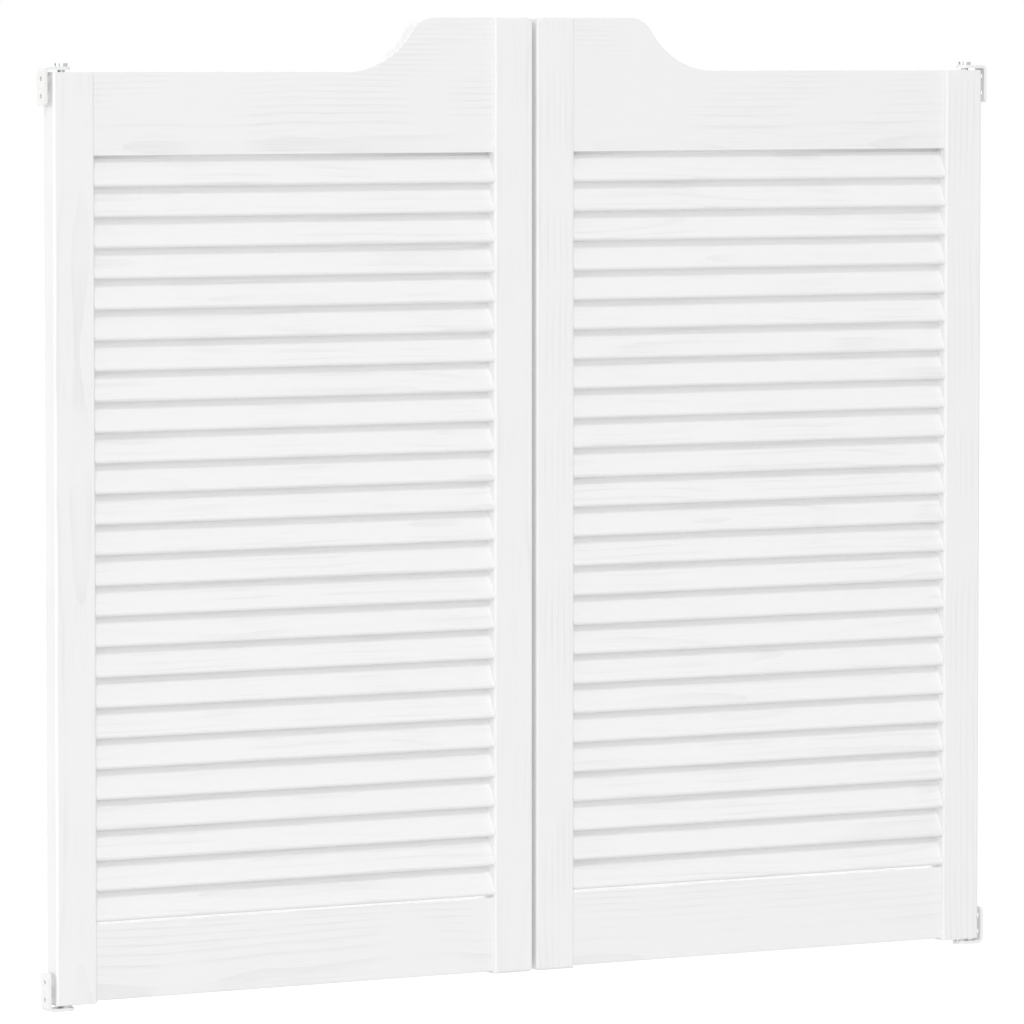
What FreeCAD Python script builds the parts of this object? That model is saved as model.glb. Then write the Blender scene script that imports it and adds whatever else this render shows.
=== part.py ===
# Cafe swinging doors: a pair of louvred half doors of white painted pine, hung between two
# jambs on spring pivots that are let into the outer stiles. Lengths are in millimetres.
#
# X runs to the right across the doorway, -Y faces the person in front, Z is up. The origin is
# midway between the jambs, in the middle of the doors' thickness, level with the underside of
# the lower brackets. Every piece is drawn for the left door and mirrored in X = 0 for the right.
import FreeCAD, Part
import math
import os

# ---- driving dimensions ----------------------------------------------------------------

# The pair of doors
doors_width = 1000.0         # over both doors
meeting_gap = 4.0            # between the inner stiles
shoulder_height = 850.0      # outer stiles, and the low stretch of the top rails
crown_rise = 50.0            # how much taller the doors are where they meet
crown_length = 105.0         # level top of each door, measured back from its meeting edge
ogee_hollow_radius = 80.0    # lower, hollow half of the S curve up to the crown
ogee_round_radius = 26.0     # upper, round half

# Stiles
stile_width = 41.0
stile_thickness = 22.0
stile_arris = 2.5            # rounding of the four long edges
stile_end_ease = 0.8         # rounding of the outer stiles' end edges
crown_corner = 6.0           # where the doors meet, the upper corner as seen from the front
foot_corner = 4.0            # and the lower one

# Rails, thinner than the stiles and centred in them
rail_thickness = 14.0
top_rail_height = 76.0       # at the shoulder
bottom_rail_height = 70.0
bottom_rail_lift = 2.0       # its lower edge stands above the feet of the stiles
rail_arris = 1.0

# Slats, round edged, lying back from a nose at the front to a tail at the rear
slat_width = 31.75
slat_thickness = 6.0
slat_set_in = 1.5            # nose and tail stand this far inside the faces of the stiles
slat_spacing = 28.0          # aimed at, then evened out to fill the opening
slat_tongue = 6.0            # length of each end housed in its stile
slat_top_gap = 0.1           # first tail to the top rail
slat_bottom_gap = 2.2        # last nose to the bottom rail
slot_fit = 0.1               # all round a slat in its slot
slot_end_gap = 0.2           # beyond the end of a slat
slat_groups = 12             # nodes that the slats of one door are shared out over

# Dowels
dowel_diameter = 8.0
dowel_wall = 1.5             # wood between a dowel's hole and the spring barrel's
dowel_chamfer = 1.0
dowel_edge = 21.0            # first dowel's axis to the edge of the rail
dowel_spacing = 50.0         # never further apart than this
dowel_fit = 0.05
dowel_end_gap = 0.4

# Hanging
jamb_gap = 7.5               # face of the jamb to the side of the outer stile
pivot_inset = 13.0           # side of the outer stile to the axis it turns on
upper_gap = 2.0              # top of the outer stile to the upper bracket
running_gap = 0.1            # flat faces that slide on each other

# Brackets, bent from steel strip
bracket_thickness = 3.0
bracket_width = 16.0
bracket_bend = 2.0           # inside radius of the bend
bracket_corner = 4.0
jamb_screw_radius = 2.25     # clearance hole
jamb_screw_sink = 4.4        # radius of the countersink's mouth
jamb_screw_rise = 6.0        # bend to the first hole
jamb_screw_spacing = 16.0
jamb_screw_edge = 9.0        # second hole to the free edge of the plate

# Spindle that stands in the lower bracket
spindle_key = 6.0            # square foot, across the flats
spindle_key_fit = 0.05
spindle_collar_radius = 6.5
spindle_collar_thickness = 1.5
spindle_journal_radius = 4.0
spindle_core_gap = 0.3       # thinner stretch to the spring round it
spindle_top_gap = 2.0        # under the barrel's end
washer_thickness = 1.0
journal_fit = 0.05           # round faces that turn in each other

# Spring barrel let into the foot of the outer stile
barrel_radius = 7.0
barrel_wall = 1.0
barrel_length = 74.0
barrel_end = 2.0             # closed upper end
barrel_fit = 0.1             # in the bore of the stile
barrel_bore_gap = 1.0        # wood above the barrel's end
flange_thickness = 2.0
flange_side_margin = 3.0     # flange to both sides of the stile
flange_face_margin = 2.0     # and to its front and back
flange_corner = 3.0
bush_length = 10.0
bush_fit = 0.02              # in the barrel
barrel_screw_radius = 1.5
barrel_screw_head_radius = 3.0
barrel_screw_length = 16.0
barrel_screw_edge = 4.0      # screws to the long edges of the flange
screw_fit = 0.05

# Torsion spring
spring_wire = 2.4
spring_tang_upset = 0.1      # the end is thickened by this, all round, where it turns up
spring_side_gap = 0.3        # to the wall of the barrel
spring_turn_gap = 0.3
spring_seat_gap = 0.3        # at both ends

# Upper pivot: a shouldered screw through the bracket, down into a flanged bush
pin_radius = 3.5
pin_reach = 13.0             # into the stile
pin_thread_radius = 4.0
pin_head_radius = 6.0
pin_head_thickness = 3.0
pin_slot_width = 1.6
pin_slot_depth = 1.4
upper_bush_radius = 5.5
upper_bush_length = 16.0
upper_flange_radius = 8.0
upper_flange_thickness = 1.5

# ---- worked out from them --------------------------------------------------------------

door_width = (doors_width - meeting_gap) / 2
outer_side = -doors_width / 2                       # outer side of the left door
inner_side = outer_side + door_width                # its meeting edge
opening_left = outer_side + stile_width
opening_right = inner_side - stile_width
jamb_face = outer_side - jamb_gap
pivot_x = outer_side + pivot_inset

foot_z = bracket_thickness + spindle_collar_thickness + washer_thickness + running_gap
shoulder_z = foot_z + shoulder_height
crown_z = shoulder_z + crown_rise
bottom_rail_z = foot_z + bottom_rail_lift
sill_z = bottom_rail_z + bottom_rail_height         # bottom of the louvred opening
head_z = shoulder_z - top_rail_height               # top of the louvred opening
upper_arm_z = shoulder_z + upper_gap

# A slat's section is a flat board with half round edges. Its two edge centres lie on a line
# that leans back, as far as the stiles are thick.
slat_radius = slat_thickness / 2
slat_core = slat_width - slat_thickness
slat_run = stile_thickness - 2 * slat_set_in - slat_thickness
slat_rise = math.sqrt(slat_core ** 2 - slat_run ** 2)
stack_height = head_z - sill_z - slat_top_gap - slat_bottom_gap - slat_rise - slat_thickness
slat_count = 1 + round(stack_height / slat_spacing)
slat_pitch = stack_height / (slat_count - 1)
first_nose_z = sill_z + slat_bottom_gap + slat_radius

# Half of each dowel is in the rail and half in the stile, as far as the spring barrel allows.
dowel_depth = stile_width - pivot_inset - barrel_radius - barrel_fit - dowel_end_gap - dowel_wall
dowel_length = 2 * dowel_depth

outer_bend = bracket_bend + bracket_thickness       # outside radius of the brackets' bend
bracket_plate_height = outer_bend + jamb_screw_rise + jamb_screw_spacing + jamb_screw_edge

barrel_inner_radius = barrel_radius - barrel_wall
flange_width = stile_thickness - 2 * flange_face_margin
flange_right = opening_left - flange_side_margin
barrel_screw_x = (pivot_x + barrel_radius + flange_right) / 2
barrel_screw_y = flange_width / 2 - barrel_screw_edge

# The coil fills the barrel, in whole turns, so that its tang comes up where it started.
spring_mean_radius = barrel_inner_radius - spring_side_gap - spring_wire / 2
spring_tang_radius = spring_wire / 2 + spring_tang_upset
spring_pitch = spring_wire + spring_turn_gap
spring_room = barrel_length - barrel_end - bush_length - 2 * spring_seat_gap
spring_turns = math.floor((spring_room - spring_wire) / spring_pitch)
spring_start_z = foot_z + bush_length + spring_seat_gap + spring_wire / 2
spring_end_z = spring_start_z + spring_turns * spring_pitch
spindle_core_radius = spring_mean_radius - spring_wire / 2 - spindle_core_gap
spindle_top_z = foot_z + barrel_length - barrel_end - spindle_top_gap

UP = FreeCAD.Vector(0, 0, 1)
ACROSS = FreeCAD.Vector(1, 0, 0)
REACH = 10.0                 # how far a cutting tool stands clear of what it cuts
NEAR = 1e-6                  # points closer than this lie in one plane


# ---- shapes ----------------------------------------------------------------------------

def block(x0, x1, y0, y1, z0, z1):
    """Rectangular block between the given planes."""
    return Part.makeBox(x1 - x0, y1 - y0, z1 - z0, FreeCAD.Vector(x0, y0, z0))


def post(x, radius, z0, z1, y=0):
    """Upright cylinder, on the doors' middle plane if nothing else is said."""
    return Part.makeCylinder(radius, z1 - z0, FreeCAD.Vector(x, y, z0), UP)


def edges_along(shape, direction):
    """Straight edges of a shape that run along a direction."""
    found = []
    for edge in shape.Edges:
        if len(edge.Vertexes) < 2:
            continue
        span = edge.Vertexes[1].Point - edge.Vertexes[0].Point
        if span.Length > 0 and abs(span.dot(direction)) > 0.999 * span.Length:
            found.append(edge)
    return found


def edges_at_height(shape, z):
    """Edges that lie in a level plane."""
    return [edge for edge in shape.Edges if max(abs(v.Z - z) for v in edge.Vertexes) < NEAR]


def face_edges(board, thickness):
    """Edges that lie in the front or the rear face of a board."""
    half = thickness / 2
    return [edge for edge in board.Edges
            if all(abs(v.Y - half) < NEAR for v in edge.Vertexes)
            or all(abs(v.Y + half) < NEAR for v in edge.Vertexes)]


def line(a, b):
    """Straight edge between two points."""
    return Part.LineSegment(a, b).toShape()


def arc(a, middle, b):
    """Circular edge from a to b through a middle point."""
    return Part.Arc(a, middle, b).toShape()


# ---- wood ------------------------------------------------------------------------------

def slat_section(nose_z, x, grow):
    """Face of a slat's section at one x, made larger all round by grow."""
    lean = math.asin(slat_run / slat_core)
    radius = slat_radius + grow
    nose = FreeCAD.Vector(x, -slat_run / 2, nose_z)
    tail = FreeCAD.Vector(x, slat_run / 2, nose_z + slat_rise)
    along = FreeCAD.Vector(0, math.sin(lean), math.cos(lean))
    front = FreeCAD.Vector(0, -math.cos(lean), math.sin(lean))
    edges = [
        line(nose + front * radius, tail + front * radius),
        arc(tail + front * radius, tail + along * radius, tail - front * radius),
        line(tail - front * radius, nose - front * radius),
        arc(nose - front * radius, nose - along * radius, nose + front * radius),
    ]
    return Part.Face(Part.Wire(edges))


def nose_heights():
    """Heights of the slats' nose centres, from the top slat down."""
    return [first_nose_z + slat_pitch * index for index in reversed(range(slat_count))]


def slat(nose_z):
    """One slat, from the bottom of its slot in one stile to that in the other."""
    length = opening_right - opening_left + 2 * slat_tongue
    return slat_section(nose_z, opening_left - slat_tongue, 0).extrude(ACROSS * length)


def slots(side_x, into):
    """Slanted slots for all slats in the side of a stile; into is the sign of X into the wood."""
    depth = slat_tongue + slot_end_gap
    start = side_x - into * REACH
    path = ACROSS * (into * (depth + REACH))
    return [slat_section(nose_z, start, slot_fit).extrude(path) for nose_z in nose_heights()]


def dowel_heights(low_z, high_z):
    """Heights of the dowels in the end of a rail."""
    span = high_z - low_z - 2 * dowel_edge
    gaps = math.ceil(span / dowel_spacing)
    return [low_z + dowel_edge + span * index / gaps for index in range(gaps + 1)]


# Each joint between a rail and a stile: the side of the stile, then the rail's height there.
top_joints = (
    (opening_left, dowel_heights(head_z, shoulder_z)),
    (opening_right, dowel_heights(head_z, crown_z)),
)
bottom_joints = (
    (opening_left, dowel_heights(bottom_rail_z, sill_z)),
    (opening_right, dowel_heights(bottom_rail_z, sill_z)),
)


def dowel(x, z):
    """Dowel across one joint, with chamfered ends."""
    foot = FreeCAD.Vector(x - dowel_length / 2, 0, z)
    rod = Part.makeCylinder(dowel_diameter / 2, dowel_length, foot, ACROSS)
    rims = [edge for edge in rod.Edges if isinstance(edge.Curve, Part.Circle)]
    return rod.makeChamfer(dowel_chamfer, rims)


def dowels(joints):
    """All the dowels of one rail."""
    return Part.makeCompound([dowel(x, z) for x, heights in joints for z in heights])


def dowel_holes(joints):
    """Holes for the dowels, through both the rail and the stiles."""
    length = dowel_length + 2 * dowel_end_gap
    radius = dowel_diameter / 2 + dowel_fit
    holes = []
    for x, heights in joints:
        for z in heights:
            foot = FreeCAD.Vector(x - length / 2, 0, z)
            holes.append(Part.makeCylinder(radius, length, foot, ACROSS))
    return holes


def outer_stile():
    """Stile on the hanging side, slotted, and bored at both ends for the pivots."""
    half = stile_thickness / 2
    bar = block(outer_side, opening_left, -half, half, foot_z, shoulder_z)
    bar = bar.makeFillet(stile_arris, edges_along(bar, UP))
    ends = edges_at_height(bar, foot_z) + edges_at_height(bar, shoulder_z)
    bar = bar.makeFillet(stile_end_ease, ends)
    bore_top = foot_z + barrel_length + barrel_bore_gap
    bore = post(pivot_x, barrel_radius + barrel_fit, foot_z - REACH, bore_top)
    recess = flange_plate(barrel_fit, foot_z - REACH)
    pilots = [post(barrel_screw_x, barrel_screw_radius + screw_fit, foot_z - REACH,
                   foot_z + barrel_screw_length + screw_fit, y)
              for y in (-barrel_screw_y, barrel_screw_y)]
    bush_hole = post(pivot_x, upper_bush_radius + bush_fit,
                     shoulder_z - upper_bush_length, shoulder_z + REACH)
    bush_seat = post(pivot_x, upper_flange_radius + bush_fit,
                     shoulder_z - upper_flange_thickness, shoulder_z + REACH)
    tools = slots(opening_left, -1) + dowel_holes(top_joints + bottom_joints)
    tools += [bore, recess, bush_hole, bush_seat] + pilots
    return bar.cut(tools)


def inner_stile():
    """Taller stile at the meeting edge, slotted for the slats. Its corners at that edge are
    rounded, and the rounding of its faces runs on round them."""
    half = stile_thickness / 2
    bar = block(opening_right, inner_side, -half, half, foot_z, crown_z)
    for z, radius in ((crown_z, crown_corner), (foot_z, foot_corner)):
        corner = [edge for edge in edges_at_height(bar, z)
                  if all(abs(v.X - inner_side) < NEAR for v in edge.Vertexes)]
        bar = bar.makeFillet(radius, corner)
    bar = bar.makeFillet(stile_arris, face_edges(bar, stile_thickness))
    return bar.cut(slots(opening_right, 1) + dowel_holes(top_joints + bottom_joints))


def top_rail():
    """Rail cut from a wide board: level at the shoulder, then an S curve up to the crown."""
    half = rail_thickness / 2
    sweep = math.acos(1 - crown_rise / (ogee_hollow_radius + ogee_round_radius))
    ogee_end = inner_side - crown_length
    ogee_start = ogee_end - (ogee_hollow_radius + ogee_round_radius) * math.sin(sweep)

    def on_hollow(angle):
        return FreeCAD.Vector(ogee_start + ogee_hollow_radius * math.sin(angle), -half,
                              shoulder_z + ogee_hollow_radius * (1 - math.cos(angle)))

    def on_round(angle):
        return FreeCAD.Vector(ogee_end - ogee_round_radius * math.sin(angle), -half,
                              crown_z - ogee_round_radius * (1 - math.cos(angle)))

    corners = [FreeCAD.Vector(opening_left, -half, shoulder_z),
               FreeCAD.Vector(opening_left, -half, head_z),
               FreeCAD.Vector(opening_right, -half, head_z),
               FreeCAD.Vector(opening_right, -half, crown_z)]
    edges = [line(corners[0], corners[1]), line(corners[1], corners[2]),
             line(corners[2], corners[3]), line(corners[3], on_round(0)),
             arc(on_round(0), on_round(sweep / 2), on_round(sweep)),
             arc(on_hollow(sweep), on_hollow(sweep / 2), on_hollow(0)),
             line(on_hollow(0), corners[0])]
    board = Part.Face(Part.Wire(edges)).extrude(FreeCAD.Vector(0, rail_thickness, 0))
    eased = [edge for edge in face_edges(board, rail_thickness)
             if abs(edge.Vertexes[0].X - edge.Vertexes[1].X) > NEAR]
    return board.makeFillet(rail_arris, eased).cut(dowel_holes(top_joints))


def bottom_rail():
    """Plain rail below the slats."""
    half = rail_thickness / 2
    board = block(opening_left, opening_right, -half, half, bottom_rail_z, sill_z)
    board = board.makeFillet(rail_arris, edges_along(board, ACROSS))
    return board.cut(dowel_holes(bottom_joints))


# ---- hardware --------------------------------------------------------------------------

def bracket(arm_z, rise):
    """Bent bracket: a plate against the jamb and an arm level with arm_z out to the pivot.

    arm_z is the arm's face on the side away from the plate, and rise is +1 where the plate
    stands up from the arm, -1 where it hangs down.
    """
    half = bracket_width / 2

    def at(x, height):
        return FreeCAD.Vector(x, -half, arm_z + rise * height)

    def on_bend(radius):
        middle = outer_bend - radius * math.sqrt(0.5)
        return at(jamb_face + middle, middle)

    inner_face = jamb_face + bracket_thickness
    edges = [
        line(at(pivot_x, 0), at(jamb_face + outer_bend, 0)),
        arc(at(jamb_face + outer_bend, 0), on_bend(outer_bend), at(jamb_face, outer_bend)),
        line(at(jamb_face, outer_bend), at(jamb_face, bracket_plate_height)),
        line(at(jamb_face, bracket_plate_height), at(inner_face, bracket_plate_height)),
        line(at(inner_face, bracket_plate_height), at(inner_face, outer_bend)),
        arc(at(inner_face, outer_bend), on_bend(bracket_bend),
            at(jamb_face + outer_bend, bracket_thickness)),
        line(at(jamb_face + outer_bend, bracket_thickness), at(pivot_x, bracket_thickness)),
        line(at(pivot_x, bracket_thickness), at(pivot_x, 0)),
    ]
    strip = Part.Face(Part.Wire(edges)).extrude(FreeCAD.Vector(0, bracket_width, 0))
    low = min(arm_z, arm_z + rise * bracket_thickness)
    strip = strip.fuse(post(pivot_x, half, low, low + bracket_thickness)).removeSplitter()
    plate_end = arm_z + rise * bracket_plate_height
    corners = [edge for edge in edges_along(strip, ACROSS)
               if abs(edge.Vertexes[0].Z - plate_end) < NEAR]
    strip = strip.makeFillet(bracket_corner, corners)
    tools = []
    for z in jamb_screw_heights(arm_z, rise):
        centre = FreeCAD.Vector(jamb_face - REACH, 0, z)
        tools.append(Part.makeCylinder(jamb_screw_radius, 3 * REACH, centre, ACROSS))
        depth = jamb_screw_sink - jamb_screw_radius
        foot = FreeCAD.Vector(inner_face - depth, 0, z)
        tools.append(Part.makeCone(jamb_screw_radius, jamb_screw_sink, depth, foot, ACROSS))
    return strip.cut(tools)


def jamb_screw_heights(arm_z, rise):
    """Heights of the two screw holes in a bracket's plate."""
    far = arm_z + rise * (bracket_plate_height - jamb_screw_edge)
    return (far, far - rise * jamb_screw_spacing)


def key(size, z0, z1):
    """Square bar on the pivot axis."""
    half = size / 2
    return block(pivot_x - half, pivot_x + half, -half, half, z0, z1)


def lower_bracket():
    """Bracket under the stile, with a square hole that keeps the spindle from turning."""
    hole = key(spindle_key + 2 * spindle_key_fit, -REACH, bracket_thickness + REACH)
    return bracket(0, 1).cut(hole)


def upper_bracket():
    """The same bracket turned over above the stile, with a round hole for the pivot screw."""
    hole = post(pivot_x, pin_thread_radius + journal_fit, upper_arm_z - REACH,
                upper_arm_z + bracket_thickness + REACH)
    return bracket(upper_arm_z + bracket_thickness, -1).cut(hole)


def spindle():
    """Fixed spindle: square foot, collar, journal, and a thinner core up inside the spring."""
    collar_top = bracket_thickness + spindle_collar_thickness
    journal_top = foot_z + bush_length
    foot = key(spindle_key, 0, bracket_thickness)
    collar = post(pivot_x, spindle_collar_radius, bracket_thickness, collar_top)
    journal = post(pivot_x, spindle_journal_radius, collar_top, journal_top)
    core = post(pivot_x, spindle_core_radius, journal_top, spindle_top_z)
    return foot.fuse([collar, journal, core]).removeSplitter()


def thrust_washer():
    """Nylon washer between the collar and the barrel's flange. It carries the door."""
    low = bracket_thickness + spindle_collar_thickness
    ring = post(pivot_x, spindle_collar_radius, low, low + washer_thickness)
    hole_radius = spindle_journal_radius + journal_fit
    return ring.cut(post(pivot_x, hole_radius, low - REACH, low + REACH))


def flange_plate(grow, low_z):
    """Flange of the barrel from low_z up to its seat in the stile, grown sideways by grow."""
    half = flange_width / 2 + grow
    x0 = outer_side + flange_side_margin - grow
    x1 = flange_right + grow
    plate = block(x0, x1, -half, half, low_z, foot_z + flange_thickness)
    return plate.makeFillet(flange_corner, edges_along(plate, UP))


def barrel_screw_head(y):
    """Head of one screw, and its countersink in the flange, down to the shank."""
    depth = barrel_screw_head_radius - barrel_screw_radius
    return Part.makeCone(barrel_screw_head_radius, barrel_screw_radius, depth,
                         FreeCAD.Vector(barrel_screw_x, y, foot_z), UP)


def spring_barrel():
    """Steel barrel with a closed upper end, on a flange that is screwed to the stile's foot."""
    top_z = foot_z + barrel_length
    shell = flange_plate(0, foot_z).fuse(post(pivot_x, barrel_radius, foot_z, top_z))
    bore = post(pivot_x, barrel_inner_radius, foot_z - REACH, top_z - barrel_end)
    tang_hole = post(pivot_x + spring_mean_radius, spring_tang_radius + screw_fit,
                     top_z - barrel_end - REACH, top_z + REACH)
    tools = [bore, tang_hole]
    for y in (-barrel_screw_y, barrel_screw_y):
        tools.append(post(barrel_screw_x, barrel_screw_radius + screw_fit, foot_z - REACH,
                          foot_z + REACH, y))
        tools.append(barrel_screw_head(y))
    return shell.removeSplitter().cut(tools)


def barrel_screws():
    """Countersunk screws up into the end grain of the stile."""
    screws = []
    for y in (-barrel_screw_y, barrel_screw_y):
        shank = post(barrel_screw_x, barrel_screw_radius, foot_z, foot_z + barrel_screw_length, y)
        screws.append(shank.fuse(barrel_screw_head(y)).removeSplitter())
    return Part.makeCompound(screws)


def barrel_bush():
    """Nylon bush in the barrel's mouth, running on the spindle's journal."""
    ring = post(pivot_x, barrel_inner_radius - bush_fit, foot_z, foot_z + bush_length)
    hole_radius = spindle_journal_radius + journal_fit
    return ring.cut(post(pivot_x, hole_radius, foot_z - REACH, foot_z + bush_length + REACH))


def pivot_spring():
    """Torsion spring round the spindle, with a tang up through the barrel's end."""
    height = spring_turns * spring_pitch
    path = Part.Wire(Part.makeHelix(spring_pitch, height, spring_mean_radius).Edges)
    start = FreeCAD.Vector(spring_mean_radius, 0, 0)
    section = Part.Wire(Part.makeCircle(spring_wire / 2, start, FreeCAD.Vector(0, 1, 0)))
    coil = path.makePipeShell([section], True, True)
    coil.translate(FreeCAD.Vector(pivot_x, 0, spring_start_z))
    tang = post(pivot_x + spring_mean_radius, spring_tang_radius,
                spring_end_z - spring_wire / 2, foot_z + barrel_length)
    return coil.fuse(tang)


def upper_pin():
    """Shouldered pivot screw: slotted head, thread in the bracket, plain pin below."""
    arm_top = upper_arm_z + bracket_thickness
    head_top = arm_top + pin_head_thickness
    head = post(pivot_x, pin_head_radius, arm_top, head_top)
    thread = post(pivot_x, pin_thread_radius, upper_arm_z, arm_top)
    pin = post(pivot_x, pin_radius, shoulder_z - pin_reach, upper_arm_z)
    slot = block(pivot_x - pin_head_radius - REACH, pivot_x + pin_head_radius + REACH,
                 -pin_slot_width / 2, pin_slot_width / 2, head_top - pin_slot_depth,
                 head_top + REACH)
    return head.fuse([thread, pin]).removeSplitter().cut(slot)


def upper_bush():
    """Flanged nylon bush let into the top of the outer stile, for the pivot screw."""
    sleeve = post(pivot_x, upper_bush_radius, shoulder_z - upper_bush_length, shoulder_z)
    flange = post(pivot_x, upper_flange_radius, shoulder_z - upper_flange_thickness, shoulder_z)
    hole = post(pivot_x, pin_radius + journal_fit, shoulder_z - upper_bush_length - REACH,
                shoulder_z + REACH)
    return sleeve.fuse(flange).removeSplitter().cut(hole)


# ---- assembly --------------------------------------------------------------------------

left_pieces = {
    "outer_stile": outer_stile(),
    "inner_stile": inner_stile(),
    "top_rail": top_rail(),
    "bottom_rail": bottom_rail(),
    "top_rail_dowels": dowels(top_joints),
    "bottom_rail_dowels": dowels(bottom_joints),
    "lower_bracket": lower_bracket(),
    "spindle": spindle(),
    "thrust_washer": thrust_washer(),
    "spring_barrel": spring_barrel(),
    "barrel_screws": barrel_screws(),
    "barrel_bush": barrel_bush(),
    "pivot_spring": pivot_spring(),
    "upper_bracket": upper_bracket(),
    "upper_pin": upper_pin(),
    "upper_bush": upper_bush(),
}

# The slats are shared out from the top down, as evenly as they go.
slats = {}
for index, nose_z in enumerate(nose_heights()):
    group = 1 + math.floor(index * slat_groups / slat_count)
    slats.setdefault("slats_%02d" % group, []).append(slat(nose_z))
for name, run in slats.items():
    left_pieces[name] = Part.makeCompound(run)

os.makedirs("parts", exist_ok=True)
for name, shape in left_pieces.items():
    shape.exportStep("parts/left_" + name + ".step")
    mirrored = shape.mirror(FreeCAD.Vector(0, 0, 0), ACROSS)
    mirrored.exportStep("parts/right_" + name + ".step")
    print(name, "valid" if shape.isValid() else "NOT VALID", len(shape.Solids), "solids",
          round(shape.Volume / 1000, 2), "cm3")
print("slats:", slat_count, "pitch", round(slat_pitch, 3), "nodes", 2 * len(left_pieces))
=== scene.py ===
# Cafe swinging doors: two louvred half doors of white painted pine on spring pivots.
# Lengths are in metres, X to the right across the doorway, -Y to the front, Z up.
import math

import bpy
import numpy as np
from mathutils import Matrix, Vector


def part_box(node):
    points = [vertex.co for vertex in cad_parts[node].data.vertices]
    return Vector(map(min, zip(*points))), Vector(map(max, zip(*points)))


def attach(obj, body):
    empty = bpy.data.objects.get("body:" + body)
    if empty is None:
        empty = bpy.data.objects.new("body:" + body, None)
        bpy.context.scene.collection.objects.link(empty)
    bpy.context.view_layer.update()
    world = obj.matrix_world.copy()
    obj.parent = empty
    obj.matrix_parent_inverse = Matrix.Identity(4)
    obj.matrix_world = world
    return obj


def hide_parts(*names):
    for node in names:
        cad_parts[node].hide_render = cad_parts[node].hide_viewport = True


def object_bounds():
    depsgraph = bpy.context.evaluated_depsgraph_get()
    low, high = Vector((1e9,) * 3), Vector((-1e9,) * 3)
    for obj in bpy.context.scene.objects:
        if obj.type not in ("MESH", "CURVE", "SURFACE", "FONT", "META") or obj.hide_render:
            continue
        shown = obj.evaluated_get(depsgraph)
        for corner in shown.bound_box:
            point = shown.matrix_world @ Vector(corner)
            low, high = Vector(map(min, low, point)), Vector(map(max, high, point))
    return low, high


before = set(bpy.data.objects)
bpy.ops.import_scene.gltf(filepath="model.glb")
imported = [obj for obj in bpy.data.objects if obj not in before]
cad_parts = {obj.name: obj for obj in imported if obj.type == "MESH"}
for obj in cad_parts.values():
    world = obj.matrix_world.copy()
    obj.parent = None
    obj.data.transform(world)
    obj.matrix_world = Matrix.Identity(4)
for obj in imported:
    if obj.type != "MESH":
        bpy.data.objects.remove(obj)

cad_low, cad_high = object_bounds()
SIDES = ("left", "right")
MM = 0.001


# ---- Stiles -------------------------------------------------------------------------------
# The four uprights are planed pine, 41 by 22 mm, with their long edges rounded over. They are
# slotted for the slats and dowelled to the rails, then painted with the rest of the door.

def linear(code):
    """Linear colour of an sRGB hex code: each channel taken back through the sRGB curve."""
    shares = [int(code[i:i + 2], 16) / 255 for i in (0, 2, 4)]
    return [s / 12.92 if s <= 0.04045 else ((s + 0.055) / 1.055) ** 2.4 for s in shares] + [1.0]


def add(tree, kind, inputs=(), **settings):
    """Adds one node. Inputs are pairs of a socket's name or number and a value or a link."""
    node = tree.nodes.new(kind)
    for name, value in settings.items():
        setattr(node, name, value)
    for socket, value in inputs:
        if isinstance(value, bpy.types.NodeSocket):
            tree.links.new(value, node.inputs[socket])
        else:
            node.inputs[socket].default_value = value
    return node


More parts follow.
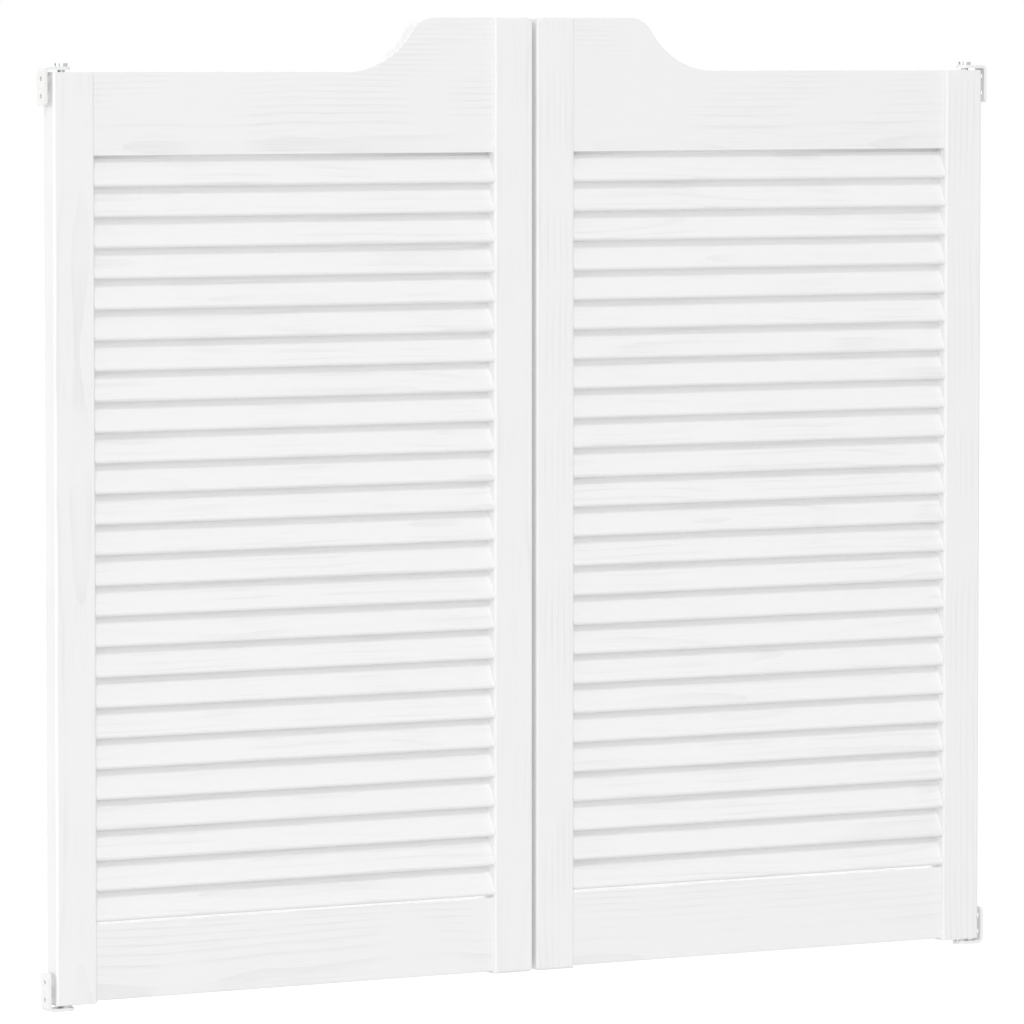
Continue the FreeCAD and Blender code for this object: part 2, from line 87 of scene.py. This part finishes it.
def painted_pine(board, turn, pith, seed, offset=None):
    """White satin enamel, brushed on clear pine. The paint levels out almost flat, but where it
    is thin the coarse fibres and the late wood of the year rings still show through it as faint
    streaks, a little proud and a little darker.

    turn rotates the board's grain on to X, pith is where the heart of the tree lies from the
    board (Y, Z after the turn), and offset names a vector attribute that shifts each slat's own
    piece of the pattern.
    """
    ring_gap = 4.2 * MM           # one year's growth
    ring_wander = 7 * MM          # how far a ring strays
    wander_length = 320 * MM      # over this much of the board
    wander_width = 1 / 6          # and this much of the trunk's width
    thin_places = 4.0             # to each wander, along and across
    fibre_width = 1.1 * MM        # real fibres are finer, and wouldn't show
    fibre_length = 60 * MM
    grain_depth = 0.02 * MM
    boards_apart = 0.371          # along the tree, from one seed to the next

    material = bpy.data.materials.new("satin_enamel_on_pine_" + board)
    material.use_nodes = True
    tree = material.node_tree
    shader = tree.nodes["Principled BSDF"]

    place = add(tree, "ShaderNodeTexCoord").outputs["Object"]
    if offset:
        own = add(tree, "ShaderNodeAttribute", attribute_name=offset)
        place = add(tree, "ShaderNodeVectorMath", [(0, place), (1, own.outputs["Vector"])],
                    operation="ADD").outputs[0]
    shift = (seed * boards_apart, -pith[0], -pith[1])
    grain = add(tree, "ShaderNodeMapping", [("Vector", place), ("Rotation", turn),
                                            ("Location", shift)]).outputs[0]

    # Year rings round the pith, which wanders along the tree
    slow = add(tree, "ShaderNodeMapping",
               [("Vector", grain),
                ("Scale", (1 / wander_length, 1 / wander_width, 1 / wander_width))]).outputs[0]
    drift = add(tree, "ShaderNodeTexNoise", [("Vector", slow), ("Scale", 1.0), ("Detail", 2.0)])
    strayed = add(tree, "ShaderNodeVectorMath",
                  [(0, drift.outputs["Color"]), (1, (0, 2 * ring_wander, 2 * ring_wander)),
                   (2, grain)], operation="MULTIPLY_ADD")
    rings = add(tree, "ShaderNodeTexWave",
                [("Vector", strayed.outputs[0]), ("Scale", 2 * math.pi / 20 / ring_gap),
                 ("Distortion", 0.5), ("Detail", 1.0), ("Detail Scale", 0.25)],
                wave_type="RINGS", rings_direction="X", wave_profile="SAW")
    late_wood = add(tree, "ShaderNodeMapRange",
                    [("Value", rings.outputs["Fac"]), ("From Min", 0.6), ("From Max", 0.98)],
                    interpolation_type="SMOOTHSTEP")

    # Fibres, of which only the coarse ones show, along the board
    fine = add(tree, "ShaderNodeMapping",
               [("Vector", grain), ("Scale", (1 / fibre_length, 1 / fibre_width, 1 / fibre_width))])
    fibres = add(tree, "ShaderNodeTexNoise",
                 [("Vector", fine.outputs[0]), ("Scale", 1.0), ("Detail", 2.0)])
    coarse_fibres = add(tree, "ShaderNodeMapRange",
                        [("Value", fibres.outputs["Fac"]), ("From Min", 0.5), ("From Max", 0.75)])
    streaks = add(tree, "ShaderNodeMath",
                  [(0, coarse_fibres.outputs[0]), (1, late_wood.outputs[0])], operation="ADD")

    # The paint hides them better in some places than in others
    patches = add(tree, "ShaderNodeTexNoise",
                  [("Vector", slow), ("Scale", thin_places), ("Detail", 0.0)])
    thin_paint = add(tree, "ShaderNodeMapRange",
                     [("Value", patches.outputs["Fac"]), ("From Min", 0.42), ("From Max", 0.66),
                      ("To Min", 0.1), ("To Max", 0.6)])
    relief = add(tree, "ShaderNodeMath", [(0, streaks.outputs[0]), (1, thin_paint.outputs[0])],
                 operation="MULTIPLY")
    bump = add(tree, "ShaderNodeBump",
               [("Height", relief.outputs[0]), ("Strength", 1.0), ("Distance", grain_depth)])

    paint = add(tree, "ShaderNodeMix",
                [("Factor", relief.outputs[0]), ("A", linear("f3f3f3")), ("B", linear("e9e9e9"))],
                data_type="RGBA")
    dull = add(tree, "ShaderNodeMapRange",
               [("Value", fibres.outputs["Fac"]), ("From Min", 0.3), ("From Max", 0.7),
                ("To Min", 0.36), ("To Max", 0.46)])
    tree.links.new(paint.outputs["Result"], shader.inputs["Base Color"])
    tree.links.new(dull.outputs[0], shader.inputs["Roughness"])
    tree.links.new(bump.outputs[0], shader.inputs["Normal"])
    shader.inputs["IOR"].default_value = 1.5
    return material


def finish_node(name, material):
    """Gives a CAD node its material."""
    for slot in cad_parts[name].material_slots:
        slot.material = material


upright = (0, math.pi / 2, 0)
for number, side in enumerate(SIDES):
    finish_node(side + "_outer_stile",
                painted_pine(side + "_outer_stile", upright, (0.055, 0.48 - number), 1 + number))
    finish_node(side + "_inner_stile",
                painted_pine(side + "_inner_stile", upright, (-0.06, 0.03), 3 + number))


# ---- Rails --------------------------------------------------------------------------------
# Each door has two rails of 14 mm pine, set back 4 mm from the faces of the stiles. The top
# one is bandsawn from a wide board to an S curve, up to the level top where the doors meet.

level = (0, 0, 0)
rail_paint = {side: painted_pine(side + "_top_rail", level, (0.05, 0.79), 16 + 3 * number)
              for number, side in enumerate(SIDES)}
for number, side in enumerate(SIDES):
    finish_node(side + "_top_rail", rail_paint[side])
    finish_node(side + "_bottom_rail",
                painted_pine(side + "_bottom_rail", level, (0.06, 0.02), 7 + number))


# ---- Slats --------------------------------------------------------------------------------
# Twenty-five slats to a door, moulded from 32 by 6 mm pine with half round edges. Each is
# pushed into a slanted slot in both stiles, and the paint leaves a small bead round its ends.
# A bead of filler closes the corner between the top slat and the rail over it.

slat_thickness = 6 * MM
bead_radius = 0.9 * MM           # paint gathered in the corner between slat and stile
filler_radius = 2 * MM
slat_bow = 0.25 * MM             # most that a slat bends out of true at mid length
slat_twist = math.radians(0.3)   # most that one turns in its slots
slat_seeds = np.random.default_rng(25)
slats_per_door = 25
slat_nodes = 12                  # that the slats of one door are shared out over
arc_points = 13                  # on each half circle of a slat, and on the filler's arc
flat_points = 5                  # on each straight side of a slat's section
span_points = 49                 # along a slat, between the beads


def grid_mesh(name, points):
    """Closed tube from a grid of points, rows round the section and columns along the piece.
    Neighbouring points make quads, and each end is closed by one polygon."""
    stations, around = points.shape[:2]
    index = np.arange(stations * around).reshape(stations, around)
    turned = np.roll(index, -1, axis=1)
    quads = np.stack([index[:-1], turned[:-1], turned[1:], index[1:]], axis=-1).reshape(-1, 4)
    faces = quads.tolist() + [index[0, ::-1].tolist(), index[-1].tolist()]
    mesh = bpy.data.meshes.new(name)
    mesh.from_pydata(points.reshape(-1, 3).tolist(), [], faces)
    mesh.polygons.foreach_set("use_smooth", [True] * len(quads) + [False, False])
    piece = bpy.data.objects.new(name, mesh)
    bpy.context.scene.collection.objects.link(piece)
    return piece


def slat_points(ends, sides, nose, tail, bow, twist):
    """Section: two half circles round the nose and tail centres, joined by straight sides. It is
    swept along X. Next to each stile the radius grows by a cove, r - sqrt(r^2 - (r - d)^2) at a
    distance d from the stile, and the middle bows as one arch of a cosine."""
    half = slat_thickness / 2
    lean = math.atan2(tail[0] - nose[0], tail[1] - nose[1])
    round_end = np.linspace(0, math.pi, arc_points)
    flat = np.linspace(0, 1, flat_points + 2)[1:-1]
    middle = (np.array(nose) + np.array(tail)) / 2
    length = math.hypot(tail[0] - nose[0], tail[1] - nose[1])
    # Each point's centre along the lean, and its own place from there at unit radius: across
    # (out of the front face) and beyond (from nose to tail)
    across = np.concatenate([np.cos(round_end), -np.ones(flat_points),
                             -np.cos(round_end), np.ones(flat_points)])
    beyond = np.concatenate([np.sin(round_end), np.zeros(flat_points),
                             -np.sin(round_end), np.zeros(flat_points)])
    along = np.concatenate([np.full(arc_points, length / 2), length * (0.5 - flat),
                            np.full(arc_points, -length / 2), length * (flat - 0.5)])
    cove = bead_radius * np.array([0, 0.06, 0.15, 0.3, 0.5, 0.75, 1])
    grown = bead_radius - np.sqrt(bead_radius ** 2 - (bead_radius - cove) ** 2)
    plain = np.linspace(sides[0] + 2 * bead_radius, sides[1] - 2 * bead_radius, span_points)
    inside = 0.02 * MM            # the bead ends this far within the stile
    stations = np.concatenate([[ends[0], sides[0] - inside], sides[0] + cove, plain,
                               sides[1] - cove[::-1], [sides[1] + inside, ends[1]]])
    grow = np.concatenate([[0, 0], grown, np.zeros(len(plain)), grown[::-1], [0, 0]])
    share = np.clip((stations - sides[0]) / (sides[1] - sides[0]), 0, 1)
    out = bow * np.sin(math.pi * share)
    angle = lean + twist * np.sin(math.pi * share)
    radius = half + grow[:, None]
    u = radius * across[None, :] + out[:, None]
    v = along[None, :] + radius * beyond[None, :]
    y = middle[0] - u * np.cos(angle)[:, None] + v * np.sin(angle)[:, None]
    z = middle[1] + u * np.sin(angle)[:, None] + v * np.cos(angle)[:, None]
    x = np.broadcast_to(stations[:, None], y.shape)
    return np.stack([x, y, z], axis=-1)


def filler_points(sides, rail_z, nose, tail):
    """Section: a hollow arc that touches the underside of the rail and the face of the slat, so
    its centre is one radius from both. Two points behind the arc lie inside rail and slat."""
    lean = math.atan2(tail[0] - nose[0], tail[1] - nose[1])
    face = (tail[0] - slat_thickness / 2 * math.cos(lean),
            tail[1] + slat_thickness / 2 * math.sin(lean))
    centre_z = rail_z - filler_radius
    centre_y = face[0] - (filler_radius - (centre_z - face[1]) * math.sin(lean)) / math.cos(lean)
    arc = np.linspace(math.pi / 2, -lean, arc_points)
    y = np.append(centre_y + filler_radius * np.cos(arc), [tail[0], tail[0]])
    z = np.append(centre_z + filler_radius * np.sin(arc), [tail[1], rail_z])
    x = np.broadcast_to(np.array(sides)[:, None], (2, len(y)))
    return np.stack([x, np.broadcast_to(y, x.shape), np.broadcast_to(z, x.shape)], axis=-1)


slat_paint = painted_pine("slats", level, (0.03, 0.0), 9, offset="board")
for side in SIDES:
    top_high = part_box(side + "_slats_01")[1]
    last_low, last_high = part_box(side + "_slats_%02d" % slat_nodes)
    rail_low, rail_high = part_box(side + "_bottom_rail")
    pitch = (top_high.z - last_high.z) / (slats_per_door - 2)
    section_height = last_high.z - last_low.z - pitch
    for number in range(1, slats_per_door + 1):
        foot = last_low.z + pitch * (slats_per_door - number)
        nose = (last_low.y + slat_thickness / 2, foot + slat_thickness / 2)
        tail = (last_high.y - slat_thickness / 2, foot + section_height - slat_thickness / 2)
        bow, twist = slat_seeds.uniform(-1, 1, 2) * (slat_bow, slat_twist)
        points = slat_points((last_low.x, last_high.x), (rail_low.x, rail_high.x), nose, tail,
                             bow, twist)
        slat = grid_mesh("%s_slat_%02d_painted" % (side, number), points)
        own_board = np.tile(slat_seeds.uniform((0, -0.012, -0.02), (3, 0.012, 0.02))
                            - (0, 0, foot), (points.shape[0] * points.shape[1], 1))
        board = slat.data.attributes.new("board", "FLOAT_VECTOR", "POINT")
        board.data.foreach_set("vector", own_board.ravel())
        slat.data.materials.append(slat_paint)
        node = 1 + (number - 1) * slat_nodes // slats_per_door
        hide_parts("%s_slats_%02d" % (side, node))
        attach(slat, side + "_door")
        if number == 1:
            head_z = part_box(side + "_top_rail")[0].z
            filler = grid_mesh(side + "_head_filler",
                               filler_points((rail_low.x, rail_high.x), head_z, nose, tail))
            filler.data.materials.append(rail_paint[side])
            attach(filler, side + "_door")


# ---- Dowels -------------------------------------------------------------------------------
# Beech dowels, 8 mm thick, are glued into the rails and stiles. They are out of sight inside
# the joints, and bare.

def plain_finish(name, colour, roughness, metallic=0.0, mottle=0.04, grit=2 * MM,
                 depth=0.01 * MM):
    """A plain finish with a faint mottle: noise of one grit size varies roughness and height."""
    material = bpy.data.materials.new(name)
    material.use_nodes = True
    tree = material.node_tree
    shader = tree.nodes["Principled BSDF"]
    place = add(tree, "ShaderNodeTexCoord").outputs["Object"]
    noise = add(tree, "ShaderNodeTexNoise",
                [("Vector", place), ("Scale", 1 / grit), ("Detail", 3.0)])
    dull = add(tree, "ShaderNodeMapRange",
               [("Value", noise.outputs["Fac"]), ("From Min", 0.3), ("From Max", 0.7),
                ("To Min", roughness - mottle), ("To Max", roughness + mottle)])
    bump = add(tree, "ShaderNodeBump", [("Height", noise.outputs["Fac"]), ("Distance", depth)])
    tree.links.new(dull.outputs[0], shader.inputs["Roughness"])
    tree.links.new(bump.outputs[0], shader.inputs["Normal"])
    shader.inputs["Base Color"].default_value = linear(colour)
    shader.inputs["Metallic"].default_value = metallic
    return material


beech = plain_finish("turned_beech", "cfa877", 0.6, grit=0.8 * MM, depth=0.03 * MM)
for side in SIDES:
    finish_node(side + "_top_rail_dowels", beech)
    finish_node(side + "_bottom_rail_dowels", beech)


# ---- Brackets -----------------------------------------------------------------------------
# Two to a door, bent from 3 mm steel strip and stove enamelled white, one screwed to the jamb
# under the stile and one over it. Enamel is smooth, with the faintest orange peel.

enamel = plain_finish("white_stove_enamel", "f2f2f1", 0.28, grit=1.5 * MM, depth=0.006 * MM)
for side in SIDES:
    finish_node(side + "_lower_bracket", enamel)
    finish_node(side + "_upper_bracket", enamel)


# ---- Pivots -------------------------------------------------------------------------------
# The spindle, the spring barrel with its screws, and the upper pivot screw are turned or
# pressed steel with bright zinc plate, which is a little cloudy.

zinc = plain_finish("bright_zinc_plate", "c4c8cc", 0.32, metallic=1.0, mottle=0.08, grit=3 * MM)
for side in SIDES:
    for piece in ("spindle", "spring_barrel", "barrel_screws", "upper_pin"):
        finish_node(side + "_" + piece, zinc)


# ---- Bushes and washers -------------------------------------------------------------------
# The bushes and the thrust washer that carries the door are moulded in natural nylon: milky,
# waxy and never quite white.

nylon = plain_finish("natural_nylon", "e9e6da", 0.4)
milk = nylon.node_tree.nodes["Principled BSDF"].inputs
milk["Subsurface Weight"].default_value = 0.2
milk["Subsurface Scale"].default_value = 1.5 * MM
for side in SIDES:
    for piece in ("thrust_washer", "barrel_bush", "upper_bush"):
        finish_node(side + "_" + piece, nylon)


# ---- Springs ------------------------------------------------------------------------------
# A torsion spring of 2.4 mm music wire in each barrel brings the door back. It is oiled and
# nearly black.

music_wire = plain_finish("oiled_music_wire", "5d5d60", 0.3, metallic=1.0)
for side in SIDES:
    finish_node(side + "_pivot_spring", music_wire)


# ---- Studio -------------------------------------------------------------------------------
# The doors hang at their usual height over a pale floor. Most of the light is even and comes
# from all round. A distant lamp, high on the left, draws a shadow under each slat, and weak
# softboxes fill the fronts, the sides that look left, and the backs.

hang_height = 0.55               # foot of the doors to the floor
ambient_strength = 0.655
floor_lift = 0.45                # what the floor lacks of white
floor_half = 30.0
key_distance = 6.0               # no matter for its light, as it shines like the sun


def seen_directly(tree):
    """One for camera, glossy and transmission rays, and nought for the light that falls on
    things."""
    path = add(tree, "ShaderNodeLightPath")
    seen = add(tree, "ShaderNodeMath", [(0, path.outputs["Is Camera Ray"]),
                                        (1, path.outputs["Is Glossy Ray"])], operation="MAXIMUM")
    return add(tree, "ShaderNodeMath", [(0, seen.outputs[0]),
                                        (1, path.outputs["Is Transmission Ray"])],
               operation="MAXIMUM").outputs[0]


world = bpy.data.worlds.new("white_studio")
world.use_nodes = True
bpy.context.scene.world = world
tree = world.node_tree
strength = add(tree, "ShaderNodeMapRange", [("Value", seen_directly(tree)),
                                            ("To Min", ambient_strength), ("To Max", 1.0)])
tree.nodes["Background"].inputs["Color"].default_value = (1, 1, 1, 1)
tree.links.new(strength.outputs[0], tree.nodes["Background"].inputs["Strength"])

floor_mesh = bpy.data.meshes.new("floor")
floor_z = cad_low.z - hang_height
floor_mesh.from_pydata([(-floor_half, -floor_half, floor_z), (floor_half, -floor_half, floor_z),
                        (floor_half, floor_half, floor_z), (-floor_half, floor_half, floor_z)],
                       [], [(0, 1, 2, 3)])
floor = bpy.data.objects.new("floor", floor_mesh)
bpy.context.scene.collection.objects.link(floor)
pale = bpy.data.materials.new("pale_floor")
pale.use_nodes = True
tree = pale.node_tree
shader = tree.nodes["Principled BSDF"]
shader.inputs["Base Color"].default_value = linear("dadada")
shader.inputs["Roughness"].default_value = 0.9
lift = add(tree, "ShaderNodeMath", [(0, seen_directly(tree)), (1, floor_lift)],
           operation="MULTIPLY")
tree.links.new(lift.outputs[0], shader.inputs["Emission Strength"])
shader.inputs["Emission Color"].default_value = (1, 1, 1, 1)
floor_mesh.materials.append(pale)


def place_lamp(light, bearing, height, distance):
    """Puts a lamp so that it faces the middle of the doors. Its bearing is in degrees from
    straight in front, to the left, and its height in degrees above the level."""
    bearing, height = math.radians(bearing), math.radians(height)
    away = Vector((-math.sin(bearing) * math.cos(height), -math.cos(bearing) * math.cos(height),
                   math.sin(height)))
    holder = bpy.data.objects.new(light.name, light)
    holder.location = (cad_low + cad_high) / 2 + distance * away
    holder.rotation_mode = "QUATERNION"
    holder.rotation_quaternion = away.to_track_quat("Z", "Y")
    bpy.context.scene.collection.objects.link(holder)


key = bpy.data.lights.new("key_lamp", "SUN")
key.energy = 0.65
key.angle = math.radians(12)
place_lamp(key, 28, 36, key_distance)
for name, size, power, bearing, height, distance in (
        ("front_softbox", (6.0, 3.0), 145, 20, 12, 9.0),
        ("left_softbox", (3.0, 3.0), 75, 95, 5, 6.0),
        ("back_softbox", (3.0, 1.5), 34, 205, 20, 4.0)):
    softbox = bpy.data.lights.new(name, "AREA")
    softbox.shape = "RECTANGLE"
    softbox.size, softbox.size_y = size
    softbox.energy = power
    place_lamp(softbox, bearing, height, distance)

# The camera stands to the left of the doorway, just above the shoulders of the doors, and
# looks down a little with a long lens.
eye = Vector((-3.241, -5.729, 0.8815))
eye_yaw = math.radians(29.357)
eye_pitch = math.radians(3.8345)
eye_lens = 245.8
camera = bpy.data.objects.new("camera", bpy.data.cameras.new("camera"))
camera.data.lens = eye_lens
camera.data.sensor_width = 36.0
camera.data.clip_end = 100
camera.location = eye
camera.rotation_euler = (math.pi / 2 - eye_pitch, 0, -eye_yaw)
bpy.context.scene.collection.objects.link(camera)
bpy.context.scene.camera = camera
bpy.context.scene.view_settings.view_transform = "Standard"
